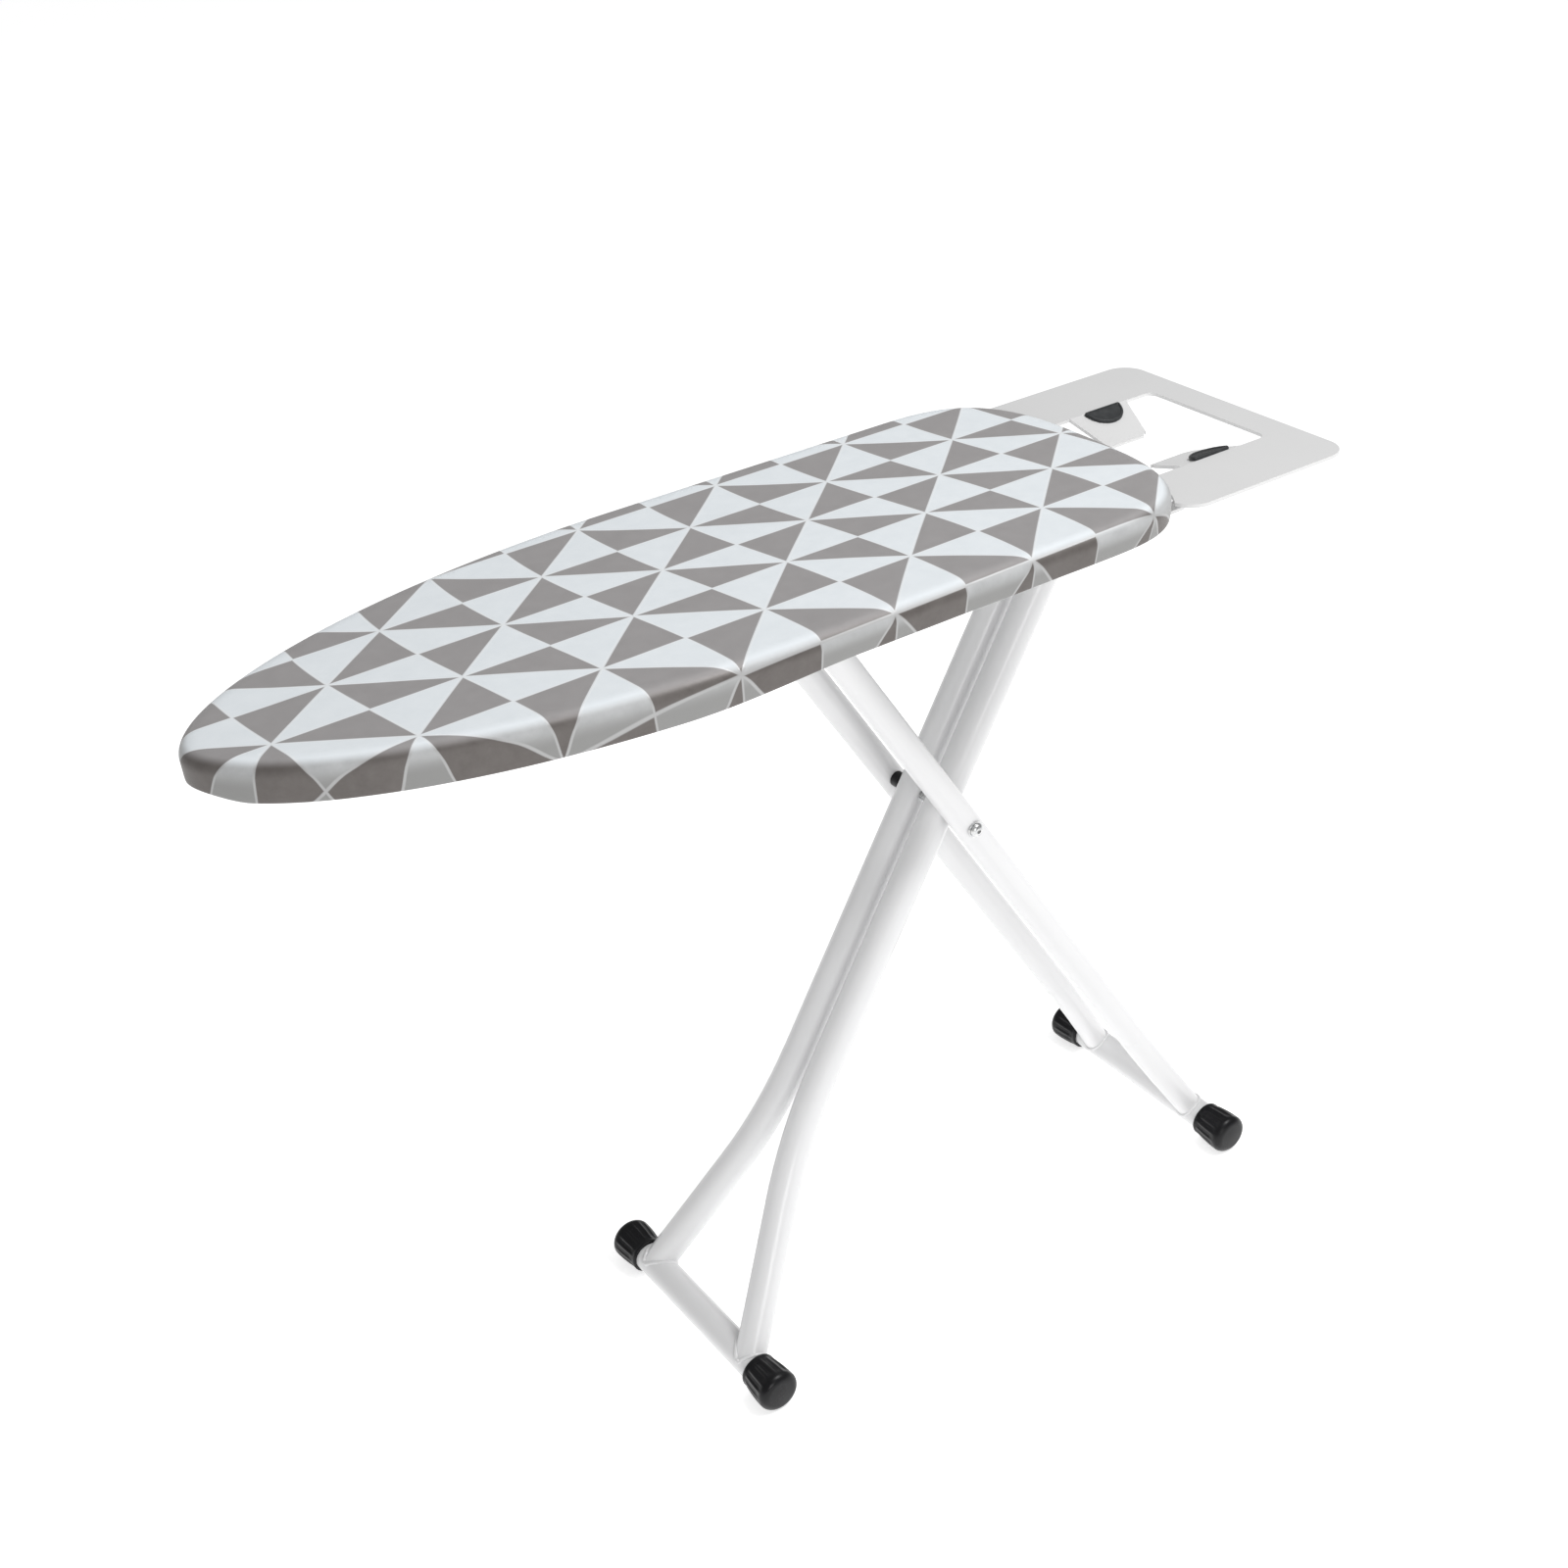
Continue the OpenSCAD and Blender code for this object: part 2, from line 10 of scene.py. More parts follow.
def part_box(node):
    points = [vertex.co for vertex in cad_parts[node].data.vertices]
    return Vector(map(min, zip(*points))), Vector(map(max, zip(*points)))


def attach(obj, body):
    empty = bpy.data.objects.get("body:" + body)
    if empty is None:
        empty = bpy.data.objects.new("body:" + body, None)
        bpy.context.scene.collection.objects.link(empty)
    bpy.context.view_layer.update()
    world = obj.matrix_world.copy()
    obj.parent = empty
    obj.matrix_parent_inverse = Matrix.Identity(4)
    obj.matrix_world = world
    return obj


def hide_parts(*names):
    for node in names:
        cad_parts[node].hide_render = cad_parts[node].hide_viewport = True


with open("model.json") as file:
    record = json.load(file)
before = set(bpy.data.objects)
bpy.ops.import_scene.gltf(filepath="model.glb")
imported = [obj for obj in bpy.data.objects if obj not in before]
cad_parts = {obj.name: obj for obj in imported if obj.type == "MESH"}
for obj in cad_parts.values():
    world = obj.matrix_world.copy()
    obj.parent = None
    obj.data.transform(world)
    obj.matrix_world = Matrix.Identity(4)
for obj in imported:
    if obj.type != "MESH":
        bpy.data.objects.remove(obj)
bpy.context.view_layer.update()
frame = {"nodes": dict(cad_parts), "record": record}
RECORD = frame["record"]
SLOT_OF = {row["node"]: row["material_slot"] for row in RECORD["subparts"]}
JOINT = {joint["name"]: joint for joint in RECORD["behaviour"]["joints"]}
SCENE = bpy.context.scene

# ---------------------------------------------------------------- where the frame puts things

COVER_LOW, COVER_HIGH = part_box("cover")
NOSE_X, END_X = COVER_LOW.x, COVER_HIGH.x
HALF_W = COVER_HIGH.y
TOP_Z, BAND_Z = COVER_HIGH.z, COVER_LOW.z
CROSS = Vector(JOINT["leg_cross"]["pos_m"])

# Shape of the board's outline, as in the CAD
NOSE_LEN, NOSE_ROUND = 0.462, 1.13
END_LEN, END_POWER = 0.136, 3.0
HEM_REACH = 0.024                  # how far in under the board the hem ends

# The print's skew: coefficients for print_place(), fitted to where the lines of the pattern run
PRINT_P = (6.2896, 13.4284, 2.9905, 0.9004, 1.1653, -0.0501, -42.3955, 16.3777, -4.274)
PRINT_Q = (0.5878, 17.6932, 3.2693, -50.5664, -0.0574, 0.5725)
COLUMN_MM, ROW_MM = 73.9, 58.5               # a cell of the print
DIAGONAL_MM = 46.0                           # from a cell's corner to the diagonal opposite
LINE_CORE_MM, LINE_FADE_MM = 0.45, 1.3       # from a line's middle to where it thins and ends
WEAVE_CELL_MM = (74.6, 58.5, 1.0)            # turns cells into millimetres for the weave


# ---------------------------------------------------------------- mesh helpers

def mesh_object(name, verts, faces):
    """A linked object made of points and faces."""
    mesh = bpy.data.meshes.new(name)
    mesh.from_pydata([tuple(v) for v in verts], [], faces)
    mesh.update()
    obj = bpy.data.objects.new(name, mesh)
    SCENE.collection.objects.link(obj)
    return obj


def clean(obj, merge=1e-6):
    """Joins doubled points, drops faces with no area, turns the normals outward and shades
    the mesh smooth."""
    bm = bmesh.new()
    bm.from_mesh(obj.data)
    bmesh.ops.remove_doubles(bm, verts=bm.verts, dist=merge)
    bmesh.ops.dissolve_degenerate(bm, edges=bm.edges, dist=merge)
    bmesh.ops.recalc_face_normals(bm, faces=bm.faces)
    bm.to_mesh(obj.data)
    bm.free()
    for polygon in obj.data.polygons:
        polygon.use_smooth = True
    return obj


def sharp_by_angle(obj, degrees=35):
    """Keeps crisp edges crisp on a smooth-shaded mesh."""
    bm = bmesh.new()
    bm.from_mesh(obj.data)
    limit = math.radians(degrees)
    for edge in bm.edges:
        if len(edge.link_faces) == 2:
            edge.smooth = edge.calc_face_angle(0.0) < limit
    bm.to_mesh(obj.data)
    bm.free()


def ring_faces(rings, around, closed_rings=False):
    """Quads between rings of points that each close on themselves. With closed_rings, the
    last ring is joined to the first."""
    faces = []
    last = rings if closed_rings else rings - 1
    for k in range(last):
        a, b = k * around, ((k + 1) % rings) * around
        for i in range(around):
            j = (i + 1) % around
            faces.append((a + i, a + j, b + j, b + i))
    return faces


def tube_along(name, points, radius, sides=10, ripple=0.0, seed=0.0):
    """A closed round bead that follows a closed loop of points."""
    count = len(points)
    verts = []
    for i, point in enumerate(points):
        tangent = (points[(i + 1) % count] - points[i - 1]).normalized()
        side = tangent.cross(Vector((0, 0, 1)))
        if side.length < 1e-3:
            side = tangent.cross(Vector((1, 0, 0)))
        side.normalize()
        up = side.cross(tangent)
        swell = radius * (1 + ripple * noise.noise(Vector((i * 0.55, seed, 0))))
        for k in range(sides):
            angle = 2 * math.pi * k / sides
            verts.append(point + swell * (math.cos(angle) * side + math.sin(angle) * up))
    return clean(mesh_object(name, verts, ring_faces(count, sides, closed_rings=True)))


# ---------------------------------------------------------------- node materials

class Graph:
    """Short names for the nodes that the materials use."""

    def __init__(self, name):
        self.material = bpy.data.materials.new(name)
        self.material.use_nodes = True
        self.tree = self.material.node_tree
        self.tree.nodes.clear()
        self.output = self.add("ShaderNodeOutputMaterial")
        self.shader = self.add("ShaderNodeBsdfPrincipled")
        self.link(self.shader.outputs[0], self.output.inputs["Surface"])

    def add(self, kind, **settings):
        node = self.tree.nodes.new(kind)
        for key, value in settings.items():
            setattr(node, key, value)
        return node

    def link(self, source, target):
        self.tree.links.new(source, target)

    def put(self, socket, value):
        if isinstance(value, bpy.types.NodeSocket):
            self.link(value, socket)
        else:
            socket.default_value = value

    def set(self, **values):
        for key, value in values.items():
            self.put(self.shader.inputs[key.replace("_", " ")], value)

    def math(self, operation, a, b=0.0, c=0.0):
        node = self.add("ShaderNodeMath", operation=operation)
        for socket, value in zip(node.inputs, (a, b, c)):
            self.put(socket, value)
        return node.outputs[0]

    def remap(self, value, low, high, to_low=0.0, to_high=1.0, smooth=False):
        node = self.add("ShaderNodeMapRange", clamp=True)
        if smooth:
            node.interpolation_type = "SMOOTHSTEP"
        for socket, item in zip(node.inputs[:5], (value, low, high, to_low, to_high)):
            self.put(socket, item)
        return node.outputs[0]

    def mix(self, share, a, b, blend="MIX"):
        node = self.add("ShaderNodeMix", data_type="RGBA", blend_type=blend)
        self.put(node.inputs[0], share)
        self.put(node.inputs[6], a if not isinstance(a, tuple) else (*a, 1.0))
        self.put(node.inputs[7], b if not isinstance(b, tuple) else (*b, 1.0))
        return node.outputs[2]

    def place(self):
        """Coordinates fixed to the piece, in metres."""
        return self.add("ShaderNodeTexCoord").outputs["Object"]

    def stretch(self, vector, scale):
        node = self.add("ShaderNodeMapping")
        self.link(vector, node.inputs["Vector"])
        node.inputs["Scale"].default_value = scale
        return node.outputs[0]

    def noise(self, vector, scale, detail=3.0, roughness=0.5):
        node = self.add("ShaderNodeTexNoise")
        self.link(vector, node.inputs["Vector"])
        node.inputs["Scale"].default_value = scale
        node.inputs["Detail"].default_value = detail
        node.inputs["Roughness"].default_value = roughness
        return node.outputs[0]

    def bump(self, height, distance, strength):
        node = self.add("ShaderNodeBump")
        node.inputs["Strength"].default_value = strength
        node.inputs["Distance"].default_value = distance
        self.link(height, node.inputs["Height"])
        return node.outputs[0]


def tinted(graph, color, share, scale, spread):
    """A colour with slow, faint patches of a darker and a lighter tone."""
    patches = graph.remap(graph.noise(graph.place(), scale, 4.0), 0.3, 0.7)
    dark = tuple(c * (1 - spread) for c in color)
    light = tuple(min(1.0, c * (1 + share)) for c in color)
    return graph.mix(patches, dark, light)


def powder_coat(name, color, roughness, coat, peel):
    """Baked powder coat: a smooth gloss with a fine orange-peel surface."""
    g = Graph(name)
    peel_height = g.noise(g.place(), 420.0, 1.0)
    broad = g.noise(g.place(), 25.0, 1.0)
    g.set(Base_Color=tinted(g, color, 0.01, 5.0, 0.012),
          Roughness=g.remap(broad, 0.3, 0.7, roughness - 0.02, roughness + 0.03),
          Coat_Weight=coat, Coat_Roughness=0.12,
          Normal=g.bump(peel_height, peel, 0.25))
    return g.material


def moulded_plastic(name, color, roughness, grain, shine=0.5):
    """Moulded plastic with a fine spark-eroded grain and rubbed spots."""
    g = Graph(name)
    grain_height = g.noise(g.place(), 2600.0, 2.0)
    rubbed = g.noise(g.place(), 45.0, 3.0)
    g.set(Base_Color=tinted(g, color, 0.35, 55.0, 0.15),
          Roughness=g.remap(rubbed, 0.35, 0.7, roughness - 0.08, roughness + 0.1),
          Specular_IOR_Level=shine, Normal=g.bump(grain_height, grain, 0.6))
    return g.material


def zinc_plate(name):
    """Bright zinc plating with a faint crystalline mottle and turning marks."""
    g = Graph(name)
    place = g.place()
    mottle = g.noise(place, 320.0, 4.0, 0.6)
    marks = g.noise(g.stretch(place, (60.0, 2500.0, 60.0)), 1.0, 2.0)
    color = g.mix(g.remap(mottle, 0.35, 0.65), (0.52, 0.53, 0.54), (0.74, 0.74, 0.73))
    g.set(Base_Color=color, Metallic=1.0,
          Roughness=g.remap(mottle, 0.3, 0.7, 0.22, 0.42),
          Normal=g.bump(marks, 0.00003, 0.5))
    return g.material


def silicone(name):
    """Dull silicone rubber with a little dust on it."""
    g = Graph(name)
    dust = g.noise(g.place(), 140.0, 5.0, 0.65)
    color = g.mix(g.remap(dust, 0.45, 0.8), (0.018, 0.02, 0.022), (0.045, 0.048, 0.05))
    g.set(Base_Color=color, Roughness=g.remap(dust, 0.3, 0.8, 0.5, 0.68),
          Normal=g.bump(g.noise(g.place(), 1800.0, 2.0), 0.00004, 0.5))
    return g.material


def felt(name):
    """Needled felt: short crossing fibres over a foam backing."""
    g = Graph(name)
    place = g.place()
    long_fibres = g.noise(g.stretch(place, (300.0, 1600.0, 900.0)), 1.0, 4.0, 0.7)
    cross_fibres = g.noise(g.stretch(place, (1500.0, 260.0, 900.0)), 1.0, 4.0, 0.7)
    height = g.math("ADD", long_fibres, cross_fibres)
    color = g.mix(g.remap(height, 0.75, 1.25), (0.7, 0.68, 0.63), (0.9, 0.89, 0.85))
    g.set(Base_Color=color, Roughness=0.95, Sheen_Weight=0.4,
          Normal=g.bump(height, 0.0006, 0.7))
    return g.material


def is_odd(graph, whole):
    """1 where a whole number is odd and 0 where it is even."""
    return graph.math("MULTIPLY", graph.math("FRACT", graph.math("MULTIPLY", whole, 0.5)), 2.0)


def cover_material(name):
    """Silver-coated cotton, printed with eight-armed stars of grey and white triangles."""
    g = Graph(name)
    cloth = g.add("ShaderNodeUVMap", uv_map="print")
    split = g.add("ShaderNodeSeparateXYZ")
    g.link(cloth.outputs[0], split.inputs[0])
    p, q = split.outputs[0], split.outputs[1]

    # Each cell of the print is cut in two by the diagonal that joins its eight-armed stars
    column, row = g.math("FLOOR", p), g.math("FLOOR", q)
    across, along = g.math("FRACT", p), g.math("FRACT", q)
    odd_cell = is_odd(g, g.math("ADD", column, row))
    odd_column = is_odd(g, column)
    slant = g.math("MULTIPLY", odd_cell, g.math("MULTIPLY_ADD", across, 2.0, -1.0))
    diagonal = g.math("ADD", g.math("SUBTRACT", along, across), slant)
    upper = g.math("GREATER_THAN", diagonal, 0.0)
    grey = g.math("ABSOLUTE", g.math("SUBTRACT", odd_column, upper))

    # Distance in millimetres to the nearest line of the print
    side_p = g.math("MINIMUM", across, g.math("SUBTRACT", 1.0, across))
    side_q = g.math("MINIMUM", along, g.math("SUBTRACT", 1.0, along))
    near_p = g.math("MULTIPLY", side_p, COLUMN_MM)
    near_q = g.math("MULTIPLY", side_q, ROW_MM)
    near_d = g.math("MULTIPLY", g.math("ABSOLUTE", diagonal), DIAGONAL_MM)
    nearest = g.math("MINIMUM", g.math("MINIMUM", near_p, near_q), near_d)
    line = g.remap(nearest, LINE_CORE_MM, LINE_FADE_MM, 1.0, 0.0, smooth=True)

    # Weave threads, a coarser slub, and the mottle of the coating
    place = g.place()
    flat = g.stretch(cloth.outputs[0], WEAVE_CELL_MM)
    warp = g.add("ShaderNodeTexWave", wave_type="BANDS", bands_direction="X")
    weft = g.add("ShaderNodeTexWave", wave_type="BANDS", bands_direction="Y")
    for thread in (warp, weft):
        g.link(flat, thread.inputs["Vector"])
        thread.inputs["Scale"].default_value = 0.55
        thread.inputs["Distortion"].default_value = 0.6
        thread.inputs["Detail Scale"].default_value = 2.0
    weave = g.math("MULTIPLY", warp.outputs[1], weft.outputs[1])
    slub = g.noise(g.stretch(place, (50.0, 420.0, 200.0)), 1.0, 3.0, 0.6)
    mottle = g.noise(place, 70.0, 5.0, 0.62)

    # Painted shade: round the edge and down the band, the grey and white pieces and the print's
    # lines get darker tones than on the top, as if the band were in shade
    edge = g.add("ShaderNodeAttribute", attribute_type="GEOMETRY", attribute_name="edge")
    band_painted_shade = g.remap(edge.outputs["Fac"], 0.35, 0.8, smooth=True)
    # Painted shade that darkens the white pieces further towards the foot of the band and the
    # hem under it
    low = g.remap(edge.outputs["Fac"], 0.75, 1.5, smooth=True)

    grey_top = g.mix(mottle, (0.36, 0.345, 0.345), (0.43, 0.415, 0.415))
    grey_band_painted_shade = g.mix(mottle, (0.085, 0.074, 0.068), (0.17, 0.155, 0.147))
    grey_tone = g.mix(band_painted_shade, grey_top, grey_band_painted_shade)
    white_top = g.mix(mottle, (0.8, 0.85, 0.885), (0.88, 0.92, 0.95))
    white_band_painted_shade = g.mix(mottle, (0.36, 0.365, 0.37), (0.56, 0.57, 0.575))
    white_tone = g.mix(band_painted_shade, white_top, g.mix(low, white_band_painted_shade, (0.26, 0.26, 0.255)))
    pieces = g.mix(grey, white_tone, grey_tone)
    # The print's lines are painted grey on the band, as painted shade
    line_tone = g.mix(band_painted_shade, (0.9, 0.93, 0.95), (0.42, 0.42, 0.42))
    color = g.mix(line, pieces, line_tone)
    threads = g.mix(0.05, color, g.mix(weave, (0.25, 0.25, 0.25), (1.0, 1.0, 1.0)), "MULTIPLY")

    height = g.math("ADD", g.math("MULTIPLY", weave, 0.6), g.math("MULTIPLY", slub, 0.8))
    g.set(Base_Color=threads,
          Metallic=g.math("MULTIPLY", grey, 0.25),
          Roughness=g.remap(mottle, 0.3, 0.7, 0.42, 0.54),
          Sheen_Weight=0.12, Sheen_Roughness=0.4,
          Normal=g.bump(height, 0.00012, 0.45))
    return g.material


def piping_material(name):
    """Twisted cotton piping round the hem."""
    g = Graph(name)
    place = g.place()
    twist = g.noise(g.stretch(place, (900.0, 900.0, 300.0)), 1.0, 3.0, 0.6)
    g.set(Base_Color=g.mix(g.remap(twist, 0.3, 0.7), (0.6, 0.61, 0.62), (0.85, 0.86, 0.87)),
          Roughness=0.8, Sheen_Weight=0.3,
          Normal=g.bump(twist, 0.0004, 0.7))
    return g.material


MATERIALS = {
    "cover_print": cover_material("cover_print"),
    "underlay_felt": felt("underlay_felt"),
    "deck_steel": powder_coat("deck_steel", (0.62, 0.63, 0.64), 0.4, 0.15, 0.00003),
    "rest_steel": powder_coat("rest_steel", (0.72, 0.72, 0.72), 0.4, 0.15, 0.00003),
    "rest_silicone": silicone("rest_silicone"),
    "leg_steel": powder_coat("leg_steel", (0.76, 0.76, 0.765), 0.32, 0.35, 0.00001),
    "cap_plastic": moulded_plastic("cap_plastic", (0.003, 0.003, 0.004), 0.34, 0.00003, 0.28),
    "zinc_steel": zinc_plate("zinc_steel"),
    "roller_nylon": moulded_plastic("roller_nylon", (0.75, 0.73, 0.66), 0.5, 0.00002),
    "grip_plastic": moulded_plastic("grip_plastic", (0.07, 0.07, 0.075), 0.55, 0.00004),
}
PIPING = piping_material("hem_piping")


def dress(obj, slot_name, body, replaced=(), material=None):
    """Gives a new piece its finish and its body, and hides the CAD nodes that it stands for."""
    obj.data.materials.clear()
    obj.data.materials.append(material or MATERIALS[slot_name])
    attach(obj, body)
    if replaced:
        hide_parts(*replaced)


for node_name, node_object in frame["nodes"].items():
    finish = MATERIALS[SLOT_OF[node_name]]
    if not node_object.material_slots:
        node_object.data.materials.append(finish)
    for material_slot in node_object.material_slots:
        material_slot.material = finish


# ---------------------------------------------------------------- the board's outline

AROUND = 640                       # points round the outline
CURVE_STEPS = 400                  # points that each quarter of the outline is measured with
TANGENT_PASSES = 4                 # how often the directions along the outline are smoothed


def outline(count):
    """Points and outward directions, evenly spaced round the board, from the nose tip."""
    half = []
    for i in range(CURVE_STEPS + 1):
        t = math.radians(90.0 * i / CURVE_STEPS)
        half.append((NOSE_X + NOSE_LEN * (1 - math.cos(t)), HALF_W * math.sin(t) ** NOSE_ROUND))
    for i in range(1, CURVE_STEPS + 1):
        t = math.radians(90.0 - 90.0 * i / CURVE_STEPS)
        half.append((END_X - END_LEN + END_LEN * math.cos(t) ** (2 / END_POWER),
                     HALF_W * math.sin(t) ** (2 / END_POWER)))
    loop = np.array(half + [(x, -y) for x, y in reversed(half[1:-1])] + [half[0]])
    reach = np.concatenate([[0], np.cumsum(np.linalg.norm(np.diff(loop, axis=0), axis=1))])
    at = np.linspace(0, reach[-1], count, endpoint=False)
    points = np.stack([np.interp(at, reach, loop[:, k]) for k in (0, 1)], axis=1)
    tangent = np.roll(points, -1, axis=0) - np.roll(points, 1, axis=0)
    for _ in range(TANGENT_PASSES):
        tangent = (np.roll(tangent, 1, axis=0) + 2 * tangent + np.roll(tangent, -1, axis=0)) / 4
    tangent /= np.linalg.norm(tangent, axis=1)[:, None]
    outward = np.stack([-tangent[:, 1], tangent[:, 0]], axis=1)
    return points, outward


EDGE, OUTWARD = outline(AROUND)

# ---------------------------------------------------------------- the printed cover

ROLL_W, ROLL_H = 0.0165, 0.0135    # the rounded edge: how far in it starts, how far down it ends
ROLL_POWER = 2.35                  # 2 is a plain ellipse, and more is fuller
ROLL_STEPS, BAND_STEPS, BEND_STEPS, HEM_STEPS = 14, 5, 4, 8
BAND_LEAN = 0.0004                 # how far the band leans in at its foot
UNDER_R = 0.002                    # bend of the cloth where the band turns in under the board
HEM_CLEAR = 0.0001                 # how far above the band's lowest line the hem lies
NOSE_SAG = 0.0066                  # how much deeper the band hangs round the nose
SAG_FULL_X, SAG_END_X = -0.2, -0.03
TOP_RINGS = 44
SPINE_X0, SPINE_X1 = NOSE_X + 0.24, END_X - 0.15    # the line that the rings of the top close on
TOP_RIPPLE = 0.00025
BAND_RIPPLE = 0.0007
CLOTH_T = 0.001
HEM_R = 0.0016                     # piping round the hem


def arc_profile():
    """(inset, height, slack) down the rounded edge, the band and the hem.
    Slack is how freely the cloth ripples there."""
    low = TOP_Z - ROLL_H
    turns = [math.pi / 2 * k / ROLL_STEPS for k in range(ROLL_STEPS)]
    rows = [(ROLL_W * (1 - math.sin(a) ** (2 / ROLL_POWER)),
             low + ROLL_H * math.cos(a) ** (2 / ROLL_POWER), 0.15) for a in turns]
    rows.append((0.0, low, 0.15))
    for k in range(1, BAND_STEPS + 1):
        share = k / BAND_STEPS
        rows.append((BAND_LEAN * share, low + (BAND_Z + UNDER_R - low) * share,
                     0.15 + 0.5 * share))
    for k in range(1, BEND_STEPS + 1):
        a = math.pi / 2 * k / BEND_STEPS
        rows.append((BAND_LEAN + UNDER_R * (1 - math.cos(a)),
                     BAND_Z + UNDER_R * (1 - math.sin(a)), 0.7))
    hem_start = BAND_LEAN + UNDER_R
    for k in range(1, HEM_STEPS + 1):
        share = k / HEM_STEPS
        rows.append((hem_start + (HEM_REACH - hem_start) * share, BAND_Z + HEM_CLEAR,
                     0.7 + 0.3 * share))
    return rows


PROFILE = arc_profile()
ARC = [0.0]                        # length of cloth from the start of the rounded edge
for (d0, z0, _), (d1, z1, _) in zip(PROFILE, PROFILE[1:]):
    ARC.append(ARC[-1] + math.hypot(d1 - d0, z1 - z0))
ROLL_START = EDGE - OUTWARD * ROLL_W


def print_place(u, v):
    """Where a point of the flat cloth falls in the print: columns and rows of stars."""
    p = (PRINT_P[0] + PRINT_P[1] * u + PRINT_P[2] * v + PRINT_P[3] * u * u
         + PRINT_P[4] * u * v + PRINT_P[5] * v * v + PRINT_P[6] * v ** 3
         + PRINT_P[7] * u * v * v + PRINT_P[8] * u * u * v)
    q = (PRINT_Q[0] + PRINT_Q[1] * v + PRINT_Q[2] * v * v + PRINT_Q[3] * v ** 3
         + PRINT_Q[4] * u + PRINT_Q[5] * u * v)
    return p, q


def gathers(i, phase):
    """The uneven ripple of a drawn-in edge, from -1 to 1, at one point of the outline."""
    turn = 2 * math.pi * i / AROUND
    return (0.6 * math.sin(118 * turn + phase + 2.2 * math.sin(7 * turn))
            + 0.4 * math.sin(73 * turn + 1.7 * phase + 1.5 * math.sin(11 * turn)))


def smooth_step(value, low, high):
    """Rises smoothly from 0 at low to 1 at high."""
    share = min(1.0, max(0.0, (value - low) / (high - low)))
    return share * share * (3 - 2 * share)


def sag(x, z, inset):
    """How far the band hangs below its level place: more round the nose, none at the roll."""
    nose = smooth_step(x, NOSE_X, NOSE_X + 0.03) * 0.75 + 0.25
    body = 1 - smooth_step(x, SAG_FULL_X, SAG_END_X)
    down = 1 - smooth_step(z, BAND_Z + 0.001, TOP_Z - ROLL_H + 0.002)
    return NOSE_SAG * nose * body * down * (1 - smooth_step(inset, 0.004, HEM_REACH))


def hem_lift(i, inset):
    """How far the gathers lift the hem, once it is clear of the rim's flange."""
    free = max(0.0, min(1.0, (inset - 0.016) / 0.008))
    near = max(0.0, min(1.0, (inset - 0.003) / 0.012))
    wave = 0.5 + 0.5 * gathers(i, 0.4)
    return wave * (0.0006 * near + 0.0016 * free)


def toward_spine(x, y, share):
    """A point moved in towards the spine of the top, which it reaches at a share of 0."""
    middle = min(max(x, SPINE_X0), SPINE_X1)
    return middle + (x - middle) * share, y * share


def build_cover():
    """The cloth from its flat top round the edge to the hem, with the print laid on it flat."""
    verts, flat, edge = [], [], []
    for k in range(TOP_RINGS):
        share = k / TOP_RINGS
        for i in range(AROUND):
            px, py = toward_spine(*ROLL_START[i], share)
            soft = noise.noise(Vector((px * 14, py * 14, 0.3)))
            soft += 0.4 * noise.noise(Vector((px * 38, py * 38, 4.1)))
            fade = min(1.0, (1 - share) * 6)
            verts.append((px, py, TOP_Z - fade * TOP_RIPPLE * (1 + soft)))
            flat.append((px, py))
            edge.append(0.0)
    hem_row = ROLL_STEPS + BAND_STEPS + BEND_STEPS
    for row, ((inset, z, slack), arc) in enumerate(zip(PROFILE, ARC)):
        for i in range(AROUND):
            x, y = EDGE[i] - OUTWARD[i] * inset
            ripple = noise.noise(Vector((EDGE[i][0] * 16, EDGE[i][1] * 16, z * 30)))
            inward = BAND_RIPPLE * slack * (1 + ripple) if inset < 0.01 else 0.0
            if z < TOP_Z - ROLL_H + 0.001:
                x, y = Vector((x, y)) - Vector(OUTWARD[i]) * inward
            lift = hem_lift(i, inset) if row > hem_row else 0.0
            verts.append((x, y, z + lift - sag(EDGE[i][0], z, inset)))
            u, v = ROLL_START[i] + OUTWARD[i] * arc
            flat.append((u, v))
            edge.append(min(2.0, arc / 0.02))
    rings = TOP_RINGS + len(PROFILE)
    obj = mesh_object("cover_cloth", verts, ring_faces(rings, AROUND))
    mesh = obj.data
    layer = mesh.uv_layers.new(name="print")
    corner = np.array([loop.vertex_index for loop in mesh.loops])
    uv = np.array([print_place(u, v) for u, v in flat], np.float32)[corner]
    layer.data.foreach_set("uv", uv.ravel())
    layer.active_render = True
    # How far down round the edge each point lies, in steps of 20 mm, which the cover's material
    # uses to paint shade on the band and the hem
    shade = mesh.attributes.new("edge", "FLOAT", "POINT")
    shade.data.foreach_set("value", np.array(edge, np.float32))
    clean(obj, 2e-5)
    skin = obj.modifiers.new("thickness", "SOLIDIFY")
    skin.thickness, skin.offset = CLOTH_T, -1.0
    return obj


def hem_loop():
    """The line of the piping, along the free edge of the hem."""
    loop = []
    for i in range(AROUND):
        x, y = EDGE[i] - OUTWARD[i] * HEM_REACH
        loop.append(Vector((x, y, BAND_Z + HEM_R + hem_lift(i, HEM_REACH) * 0.8)))
    return loop


cover = build_cover()
dress(cover, "cover_print", "board", ("cover",))
hem = tube_along("cover_hem", hem_loop(), HEM_R, sides=8)
dress(hem, "cover_print", "board", material=PIPING)

# ---------------------------------------------------------------- the underlay

UNDERLAY_GAP = 0.0008              # under the cloth
UNDERLAY_DIP = 0.00012             # how far the middle of the pad lies below its shoulder
UNDERLAY_INSET = 0.0028            # how far inside the board's outline the pad ends
UNDERLAY_ROLL = ROLL_W - 0.0022    # how far in from there its rounded edge starts
UNDERLAY_LIP = 0.0004              # height of the bevel at the foot of its edge
UNDERLAY_STEPS = 8


